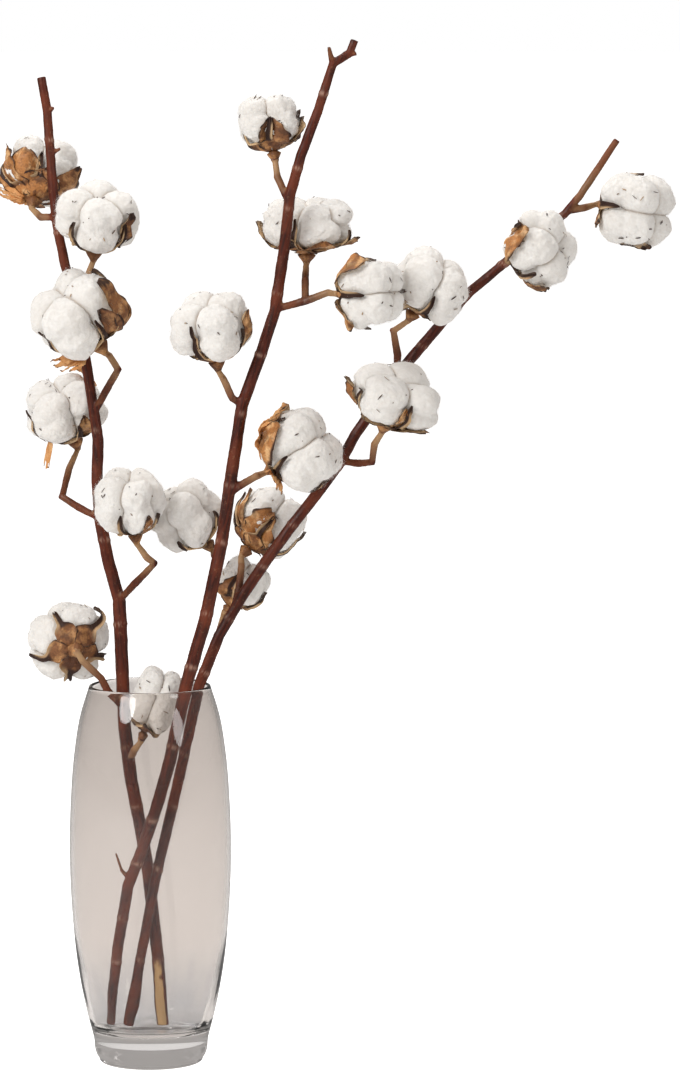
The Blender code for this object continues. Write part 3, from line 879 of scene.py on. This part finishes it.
def add_valve(batch, boll, rng, leaf, cup=False):
    """One segment of the bur, from the base up to its point."""
    rows = np.linspace(0, 1, VALVE_ROWS)[:, None]
    columns = np.linspace(-1, 1, VALVE_COLUMNS)[None, :]
    risen = math.radians(leaf.start) + rows * math.radians(leaf.end - leaf.start)
    polar = math.pi - risen
    line, groove = groove_line(boll, polar[:, 0], math.radians(leaf.around))
    blade = smoothstep(CUP_REACH, CUP_REACH * 1.4, risen) if cup else 0 * rows
    if cup:
        sector = math.pi / boll.locks * 1.04
        narrow = BLADE_HALF / (boll.width * np.maximum(np.sin(polar), 0.3))
        width = sector * (1 - blade) + narrow * blade * np.sqrt(1.02 - rows**3)
        lift = 1 - blade
    else:
        line = line * (1 - leaf.lift) + math.radians(leaf.around) * leaf.lift
        width = (math.radians(leaf.spread) * np.sin(math.pi * (0.18 + 0.80 * rows)) ** 0.75
                 / np.maximum(np.sin(polar), 0.35))
        lift = leaf.lift
    seed = int(rng.integers(1000))
    place = np.stack(np.broadcast_arrays(rows * 5, columns * 1.6, float(seed)), axis=-1).reshape(-1, 3)
    ragged = layered(place, 0.5, 2, seed + 1).reshape(VALVE_ROWS, VALVE_COLUMNS)
    around = line + columns * width * (1 + 0.22 * ragged)
    own, _ = lint_reach(boll, heading(polar, around))
    reach = groove + lift * (np.maximum(own, groove) - groove)
    grid = to_world(boll, heading(polar, around) * reach[..., None])
    outward = unit(grid - boll.centre)
    crumple = layered(place, 1.1, 3, seed + 2).reshape(VALVE_ROWS, VALVE_COLUMNS)
    lip = np.abs(columns) ** 3 * np.minimum(1, 2.5 * rows)
    fold = np.cos(columns * math.pi + 1.5 * rows + seed)
    stand = 1.0 + (2.0 * crumple + 0.8 * fold) * (0.35 + 0.65 * rows) * (1 - 0.6 * blade)
    stand = stand + 1.3 * lip + leaf.flare * rows**3 + BLADE_STAND_MM * blade
    grid = grid + outward * (stand * MM)[..., None]
    thickness = BUR_THICKNESS * (1 - 0.55 * np.abs(columns) ** 4) * (1 - 0.45 * rows**2)
    edge = np.abs(columns) ** 7 * (0.6 + 0.6 * ragged)
    tip = smoothstep(0.78, 1.0, rows + 0.1 * ragged) * (1 - 0.6 * leaf.tan)
    side = float(rng.choice([-1, 1]))
    pale = blade * smoothstep(0.1, 0.7, side * columns) * (1 - smoothstep(0.7, 0.95, rows))
    # The rim mark darkens the edges and points, which are really darker, and the whole blade in the
    # groove, where the dark is partly the husk's own brown and partly painted shade of the fold.
    rim = np.clip(np.maximum(np.maximum(edge, tip), 0.8 * blade) - pale, 0, 1)
    add_sheet(batch, grid, thickness, rim=rim, tan=leaf.tan, pale=pale)


RECEPTACLE = ((-1.32, 0.055), (-1.22, 0.09), (-1.10, 0.15), (-1.0, 0.19), (-0.92, 0.10))
RECEPTACLE_ENDS = ((0, 0, -1.33), (0, 0, -0.9))


def add_receptacle(batch, boll):
    """The ribbed knob that the valves grow from, as (height, radius) in shares of the boll."""
    heights, radii = zip(*RECEPTACLE)
    rings = rings_of(radii, heights, 20, boll.locks, 0.08)
    add_turned(batch, to_world(boll, rings), to_world(boll, np.array(RECEPTACLE_ENDS)), rim=0.15,
               tan=0.3)


FLECK_LENGTH = 2.7 * MM  # half the length of the longest
FLECK_THICKNESS = 0.16 * MM


def add_flecks(batch, boll, settings, rng):
    """Bits of broken leaf and bur that cling to the lint."""
    for _ in range(settings.flecks):
        polar = rng.uniform(0.2, 2.2)
        around = rng.uniform(0, math.tau)
        direction = heading(np.array([polar]), np.array([around]))
        place = lint_surface(boll, direction)[0][0]
        outward = unit(place - boll.centre)
        along = unit(np.cross(outward, rng.normal(size=3)))
        beside = np.cross(outward, along)
        length = rng.uniform(0.35, 1.0) ** 2 * FLECK_LENGTH
        width = rng.uniform(0.2, 0.5) * MM
        u = np.linspace(-1, 1, 6)[:, None]
        v = np.linspace(-1, 1, 3)[None, :]
        taper = np.sqrt(1 - 0.92 * u**2)
        grid = (place + (length * u)[..., None] * along + (width * v * taper)[..., None] * beside
                + ((0.35 - 0.5 * u**2 * rng.uniform(-1, 1)) * MM)[..., None] * outward)
        add_sheet(batch, grid, FLECK_THICKNESS, rim=rng.uniform(0.3, 1.0), tan=rng.uniform(0, 0.6))


def bur_finish(settings):
    """Brittle brown husk: caramel, darker to its edges and points, dark along the blade in each groove
    partly as painted shade, and pale on its inner face.
    """
    finish = Finish("bur_husk", settings.bur_colour, 0.6)
    patches = finish.mottled(120.0, 5.0, 0.46, 0.64)
    grain = finish.mottled(700.0, 3.0, 0.4, 0.7)
    finish.lay(settings.bur_light, patches, 0.8)
    finish.lay(settings.bract_colour, finish.mark("tan"), 0.75)
    finish.lay(settings.bract_light, finish.mark("tan"), patches, 0.8)
    finish.lay(settings.bur_dark, finish.mottled(75.0, 6.0, 0.5, 0.62), 0.5)
    finish.lay(settings.bur_dark, grain, 0.35)
    finish.lay(settings.bur_inner, finish.mark("inner"), 0.85)
    # Darker edges and points, with painted shade along the blades in the grooves.
    finish.lay(settings.bur_dark, ranged(finish.tree, finish.mark("rim"), 0.15, 0.7, 0.0, 0.95))
    finish.lay(settings.bur_inner, finish.mark("pale"), 0.8)
    coarse = finish.bump(patches, 0.5, 0.8 * MM)
    return finish.done(Normal=finish.bump(grain, 0.35, 0.3 * MM, Normal=coarse))


# ---- bracts

BRACT_THICKNESS = 0.35 * MM
TOOTH_WIDTH = 3.4 * MM
TEETH = (3, 11)  # the fewest and the most that a bract has
BRACT_GAP = 0.06  # between a bract's root and the lint, as a share of the boll's half width


def owner_of(name):
    return BOLLS[name.split("_")[1]]


def bract_shape(name):
    """The plain bract in its boll's terms: polar ends, middle angle, and half width and reach
    as tables from its root to its tip."""
    boll = owner_of(name)
    points, _ = node_mesh(name)
    local = (points - boll.centre) @ np.stack([boll.front, boll.side, boll.axis]).T
    local /= np.array([boll.width, boll.width, boll.depth])
    reach = np.linalg.norm(local, axis=1)
    polar = np.arccos(local[:, 2] / reach)
    around = np.arctan2(local[:, 1], local[:, 0])
    middle = math.atan2(np.sin(around).mean(), np.cos(around).mean())
    aside = np.abs((around - middle + math.pi) % math.tau - math.pi)
    root, tip = polar.max(), polar.min()
    if reach[polar > root - 0.05].mean() > reach[polar < tip + 0.05].mean() + 0.2:
        root, tip = tip, root
    share = (polar - root) / (tip - root)
    steps = np.linspace(0, 1, 6)
    near = [np.abs(share - step) < 0.12 for step in steps]
    half = np.array([aside[pick].max() for pick in near])
    out = np.array([reach[pick].mean() for pick in near])
    return boll, root, tip, middle, steps, half, out


def dress_bract(name, surface):
    """Crumpled teeth that fan out over the boll from one root and curl at their ends."""
    boll, root, tip, middle, steps, half, out = bract_shape(name)
    rng = np.random.default_rng([71, BRACTS.index(name)])
    batch = Batch("rim", "tooth")
    rows = np.linspace(0, 1, 26)[:, None]
    columns = np.linspace(-1, 1, 7)[None, :]
    girth = 2 * half.max() * boll.width * math.sin((root + tip) / 2)
    teeth = int(np.clip(round(girth / TOOTH_WIDTH), *TEETH))
    for number in range(teeth):
        spread = (number + 0.5) / teeth * 2 - 1
        length = rng.uniform(0.72, 1.16) * (1 - 0.2 * spread**2)
        share = rows * length
        polar = root + (tip - root) * share
        wide = np.interp(np.clip(share, 0, 1), steps, half)
        sway = 0.10 * np.sin(rows * rng.uniform(2, 5) + rng.uniform(0, 6)) * rows
        tooth = 1.5 / teeth * np.sin(math.pi * (0.34 + 0.64 * rows)) ** 0.8
        roll = rng.uniform(-0.5, 0.5) + rows * rng.uniform(-1.2, 1.2)
        around = middle + wide * (spread * (0.55 + 0.5 * rows) + sway + tooth * columns * np.cos(roll))
        own, _ = lint_reach(boll, heading(polar, around))
        own = np.maximum(own, own.mean())
        height = own + BRACT_GAP + np.interp(np.clip(share, 0, 1), steps, out - out.min())
        grid = to_world(boll, heading(polar, around) * height[..., None])
        outward = unit(grid - boll.centre)
        across = wide * tooth * boll.width
        curl = rows**2 * rng.uniform(-0.3, 4.2) * MM
        lift = across * columns * np.sin(roll) + 0.5 * across * columns**2 + curl
        crumple = layered(grid.reshape(-1, 3), 2.6 * MM, 3, 100 + number).reshape(lift.shape)
        lift = np.maximum(lift + MM * crumple * (0.4 + rows), -0.4 * MM) + 0.25 * MM * (number % 3)
        grid = grid + lift[..., None] * outward
        rim = np.maximum(np.abs(columns) ** 4 * 0.5, smoothstep(0.8, 1.0, rows))
        add_sheet(batch, grid, BRACT_THICKNESS * (1 - 0.5 * np.abs(columns) ** 3) + 0 * rows,
                  rim=rim, tooth=rng.uniform(0, 1))
    piece = batch.build(f"{name}_leaf", surface)
    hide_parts(name)


def bract_finish(settings):
    """Dry orange leaf with darker edges, paler on some teeth."""
    finish = Finish("dry_bract", settings.bract_colour, 0.75)
    patches = finish.mottled(160.0, 4.0, 0.35, 0.65)
    finish.lay(settings.bract_light, patches, 0.6)
    finish.lay(settings.bract_light, finish.mark("tooth"), 0.4)
    finish.lay(settings.bur_light, finish.mottled(800.0, 3.0, 0.4, 0.7), 0.4)
    finish.lay(settings.bur_dark, ranged(finish.tree, finish.mark("rim"), 0.45, 1.0, 0.0, 0.8))
    return finish.done(Normal=finish.bump(patches, 0.4, 0.6 * MM))


# ---- settings

def colour(label, what, value):
    return bpy.props.FloatVectorProperty(
        name=label, description=what, default=value, subtype="COLOR", size=3, min=0.0, max=1.0)


def amount(label, what, value, **limits):
    return bpy.props.FloatProperty(name=label, description=what, default=value, **limits)


def number_of(label, what, value, most):
    return bpy.props.IntProperty(name=label, description=what, default=value, min=0, max=most)


class COTTON_PG_vase(bpy.types.PropertyGroup):
    glass_colour: colour("Glass", "Tint of light that passes through the glass", (0.838, 0.795, 0.766))
    # Painted shade that darkens the glass low down and at its foot.
    low_shade_colour: colour("Low glass", "Tint of the thick glass just over the floor", (0.52, 0.545, 0.575))
    glass_index: amount("Index", "Index of refraction of the glass", 1.48, min=1.0, max=2.0)


class COTTON_PG_branches(bpy.types.PropertyGroup):
    bark_colour: colour("Bark", "Main colour of the bark", (0.095, 0.015, 0.005))
    bark_dark: colour("Dark bark", "Streaks in the bark", (0.024, 0.006, 0.004))
    bark_light: colour("Light bark", "Patches where the bark is worn", (0.19, 0.038, 0.011))
    twig_colour: colour("Twig", "Colour of the thin twigs", (0.25, 0.10, 0.04))
    tan_colour: colour("Tan", "Knuckles, forks and the ends of twigs", (0.46, 0.28, 0.14))
    scar_colour: colour("Scar", "Rings that old leaves left", (0.42, 0.24, 0.17))
    wood_colour: colour("Wood", "Bare wood at the stripped foot", (0.52, 0.33, 0.15))


class COTTON_PG_bolls(bpy.types.PropertyGroup):
    lint_colour: colour("Lint", "Main colour of the cotton", (0.80, 0.775, 0.74))
    lint_shade: colour("Lint shade", "Hollows between matted fibres", (0.56, 0.52, 0.475))
    lint_warm: colour("Lint tint", "Slightly creamy areas", (0.70, 0.655, 0.60))
    # Painted shade laid in the creases between the locks.
    crease_shade_colour: colour("Crease", "Deep lines between two locks", (0.52, 0.43, 0.345))
    fibres: number_of("Fibres", "Loose fibres on each boll", 4000, 4500)
    fibre_reach: amount("Fibre length", "Length of the longest loose fibres", 4 * MM, min=0.0,
                        unit="LENGTH")
    fibre_width: amount("Fibre width", "Radius of a loose fibre at its root", 0.034 * MM, min=0.0,
                        unit="LENGTH")


class COTTON_PG_burs(bpy.types.PropertyGroup):
    bur_colour: colour("Husk", "Main colour of the bur", (0.105, 0.034, 0.012))
    bur_light: colour("Light husk", "Caramel areas of the bur", (0.46, 0.195, 0.055))
    # Also laid as painted shade along the blades in the grooves.
    bur_dark: colour("Dark husk", "Edges and points of the valves", (0.032, 0.010, 0.005))
    bur_inner: colour("Inner face", "Pale lining of the valves", (0.62, 0.43, 0.24))
    bract_colour: colour("Bract", "Main colour of a dry bract", (0.60, 0.245, 0.065))
    bract_light: colour("Light bract", "Papery areas of a bract", (0.80, 0.49, 0.23))
    flecks: number_of("Flecks", "Bits of broken leaf on each boll", 22, 60)


class COTTON_PG_stage(bpy.types.PropertyGroup):
    floor_colour: colour("Floor", "Colour of the floor", (0.92, 0.92, 0.92))
    ambient: amount("Ambient", "Strength of the light from all round", 0.5, min=0.0)
    key_power: amount("Key light", "Power of the large light at the upper left", 42.0, min=0.0,
                      unit="POWER")
    camera_distance: amount("Camera distance", "From the vase's axis to the camera", 3.5, min=0.5,
                            unit="LENGTH")
    camera_height: amount("Camera height", "Height of the camera over the floor", 0.75,
                          unit="LENGTH")
    lens: amount("Lens", "Focal length of the camera in millimetres", 173.95, min=10.0)


# ---- operators

class COTTON_OT_vase(bpy.types.Operator):
    """Turn the glass vase with its smooth walls, round rim and hollowed foot"""

    bl_idname = "cotton.vase"
    bl_label = "Vase"

    def execute(self, context):
        turn_vase(context.scene.cotton_vase)
        return {"FINISHED"}


class COTTON_OT_branches(bpy.types.Operator):
    """Cover the three branches with bark, scars and pale forks"""

    bl_idname = "cotton.branches"
    bl_label = "Branches"

    def execute(self, context):
        for side in SIDES:
            dress_branch(side, context.scene.cotton_branches)
        return {"FINISHED"}


class COTTON_OT_lint(bpy.types.Operator):
    """Grow each boll's locks of lint and their loose fibres"""

    bl_idname = "cotton.lint"
    bl_label = "Lint"

    def execute(self, context):
        settings = context.scene.cotton_bolls
        directions, faces = unit_ball()
        cotton, loose = lint_finish(settings), fibre_finish(settings)
        for label, boll in BOLLS.items():
            points, crease = lint_surface(boll, directions)
            batch = Batch("crease")
            batch.add(points, faces, crease=crease)
            piece = batch.build(f"lint_{label}_locks", cotton)
            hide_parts(f"lint_{label}")
            rng = np.random.default_rng([53, int(label)])
            open_part = np.flatnonzero((directions[:, 2] > LOWEST_FIBRE) & (crease < 0.7))
            chosen = rng.choice(open_part, settings.fibres, replace=False)
            hairs = Batch()
            add_fibres(hairs, points[chosen], normals_of(piece.data)[chosen], rng,
                       settings.fibre_reach, settings.fibre_width)
            hairs.build(f"lint_{label}_fibres", loose)
        return {"FINISHED"}


class COTTON_OT_burs(bpy.types.Operator):
    """Grow the bur under each boll, with a pointed valve in each groove"""

    bl_idname = "cotton.burs"
    bl_label = "Burs"

    def execute(self, context):
        settings = context.scene.cotton_burs
        surface = bur_finish(settings)
        for label, boll in BOLLS.items():
            rng = np.random.default_rng([17, int(label)])
            batch = Batch("inner", "rim", "tan", "pale")
            for number in range(boll.locks):
                around = math.degrees(boll.turn) + 360 * (number + 0.5) / boll.locks
                end = rng.uniform(78, 122) * SHORT_BURS.get(label, 1)
                leaf = Leaf(around, 0, 3, end, 0, rng.uniform(0.5, 3.5), rng.uniform(0, 0.5))
                add_valve(batch, boll, rng, leaf, cup=True)
            for numbers in STANDING.get(label, ()):
                add_valve(batch, boll, rng, Leaf(*numbers))
            add_receptacle(batch, boll)
            add_flecks(batch, boll, settings, rng)
            piece = batch.build(f"bur_{label}_valves", surface)
            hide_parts(f"bur_{label}")
        return {"FINISHED"}


class COTTON_OT_bracts(bpy.types.Operator):
    """Grow the dry fringed bracts that cling to some bolls"""

    bl_idname = "cotton.bracts"
    bl_label = "Bracts"

    def execute(self, context):
        surface = bract_finish(context.scene.cotton_burs)
        for name in BRACTS:
            dress_bract(name, surface)
        return {"FINISHED"}


FLOOR_RADIUS = 40.0
AIM_OFFSET = Vector((0.0097, 0.0, 0.0125))  # from the middle of the model's box
MIRROR_SHARE = 0.35  # how bright the surroundings look in a reflection
FLOOR_LIFT = 0.7
AMBIENT_TINT = (1.0, 0.965, 0.935)
CLIP_END = 200.0
LAMPS = (  # name, place, width, and power as a share of the key light's
    ("key", (-1.5, -1.7, 1.7), 1.5, 1.0),
    ("fill", (1.9, -1.6, 0.9), 0.8, 0.16),
    ("top", (0.1, 0.6, 2.2), 1.4, 0.5),
)


def mirrored(tree, path):
    """1 for a ray that a shiny surface has thrown back, 0 for any other."""
    return node(tree, "Math", {0: path["Is Glossy Ray"], 1: path["Is Transmission Ray"]},
                operation="SUBTRACT", use_clamp=True)[0]


def floor_finish(settings):
    """Pale floor, lifted to the backdrop's white where the camera sees it, and dim in mirrors."""
    finish = Finish("pale_floor", settings.floor_colour, 0.9, Emission_Color=(1, 1, 1, 1))
    path = node(finish.tree, "LightPath")
    finish.lay([MIRROR_SHARE * v for v in settings.floor_colour], mirrored(finish.tree, path))
    lift = node(finish.tree, "Math", {0: path["Is Camera Ray"], 1: FLOOR_LIFT}, operation="MULTIPLY")
    return finish.done(Emission_Strength=lift[0])


def lay_floor(scene, settings):
    disc = bmesh.new()
    bmesh.ops.create_circle(disc, cap_ends=True, segments=96, radius=FLOOR_RADIUS)
    mesh = bpy.data.meshes.new("floor")
    disc.to_mesh(mesh)
    disc.free()
    mesh.materials.append(floor_finish(settings))
    floor = bpy.data.objects.new("floor", mesh)
    scene.collection.objects.link(floor)


def surround(scene, settings):
    """A white backdrop for the camera, warm light all round, and less of it in mirrors."""
    scene.world = bpy.data.worlds.new("studio")
    scene.world.use_nodes = True
    tree = scene.world.node_tree
    path = node(tree, "LightPath")
    light = (*(settings.ambient * v for v in AMBIENT_TINT), 1.0)
    seen = node(tree, "Mix", {0: path["Is Camera Ray"], 6: light, 7: (1.0, 1.0, 1.0, 1.0)},
                data_type="RGBA")[2]
    dimmed = node(tree, "Mix", {0: mirrored(tree, path), 6: seen, 7: (*[MIRROR_SHARE] * 3, 1.0)},
                  data_type="RGBA", blend_type="MULTIPLY")[2]
    tree.links.new(dimmed, tree.nodes["Background"].inputs["Color"])


def add_aimed(scene, name, data, place, aim):
    """Adds a light or camera that looks at a point."""
    obj = bpy.data.objects.new(name, data)
    obj.location = place
    obj.rotation_euler = (aim - obj.location).to_track_quat("-Z", "Y").to_euler()
    scene.collection.objects.link(obj)
    return obj


class COTTON_OT_stage(bpy.types.Operator):
    """Lay the floor, hang the lights and place the camera"""

    bl_idname = "cotton.stage"
    bl_label = "Stage"

    def execute(self, context):
        scene = context.scene
        settings = scene.cotton_stage
        low, high = CAD_BOX
        aim = Vector(((low.x + high.x) / 2, 0.0, (low.z + high.z) / 2)) + AIM_OFFSET
        lay_floor(scene, settings)
        surround(scene, settings)
        for name, place, size, share in LAMPS:
            lamp = bpy.data.lights.new(name, "AREA")
            lamp.shape = "DISK"
            lamp.size = size
            lamp.energy = settings.key_power * share
            add_aimed(scene, name, lamp, place, aim)
        lens = bpy.data.cameras.new("camera")
        lens.lens = settings.lens
        lens.clip_end = CLIP_END
        place = (aim.x, -settings.camera_distance, settings.camera_height)
        scene.camera = add_aimed(scene, "camera", lens, place, aim)
        scene.view_settings.view_transform = "Standard"
        return {"FINISHED"}


class COTTON_PT_panel(bpy.types.Panel):
    """Settings and steps of the cotton bunch"""

    bl_idname = "COTTON_PT_panel"
    bl_label = "Cotton Stem Bunch"
    bl_space_type = "VIEW_3D"
    bl_region_type = "UI"
    bl_category = "Cotton"

    def draw(self, context):
        for step in STEPS:
            box = self.layout.box()
            box.operator(step.operator)
            for name in step.settings.__annotations__:
                box.prop(getattr(context.scene, step.store), name)


Step = namedtuple("Step", "operator settings store")
STEPS = (
    Step("cotton.vase", COTTON_PG_vase, "cotton_vase"),
    Step("cotton.branches", COTTON_PG_branches, "cotton_branches"),
    Step("cotton.lint", COTTON_PG_bolls, "cotton_bolls"),
    Step("cotton.burs", COTTON_PG_burs, "cotton_burs"),
    Step("cotton.bracts", COTTON_PG_burs, "cotton_burs"),
    Step("cotton.stage", COTTON_PG_stage, "cotton_stage"),
)
CLASSES = (
    COTTON_PG_vase, COTTON_PG_branches, COTTON_PG_bolls, COTTON_PG_burs, COTTON_PG_stage,
    COTTON_OT_vase, COTTON_OT_branches, COTTON_OT_lint, COTTON_OT_burs, COTTON_OT_bracts,
    COTTON_OT_stage, COTTON_PT_panel,
)


def register():
    for cls in CLASSES:
        bpy.utils.register_class(cls)
    for step in STEPS:
        setattr(bpy.types.Scene, step.store, bpy.props.PointerProperty(type=step.settings))


def unregister():
    for store in {step.store for step in STEPS}:
        delattr(bpy.types.Scene, store)
    for cls in reversed(CLASSES):
        bpy.utils.unregister_class(cls)


def main():
    register()
    bpy.ops.cotton.vase()
    bpy.ops.cotton.branches()
    bpy.ops.cotton.lint()
    bpy.ops.cotton.burs()
    bpy.ops.cotton.bracts()
    bpy.ops.cotton.stage()


if __name__ == "__main__":
    main()
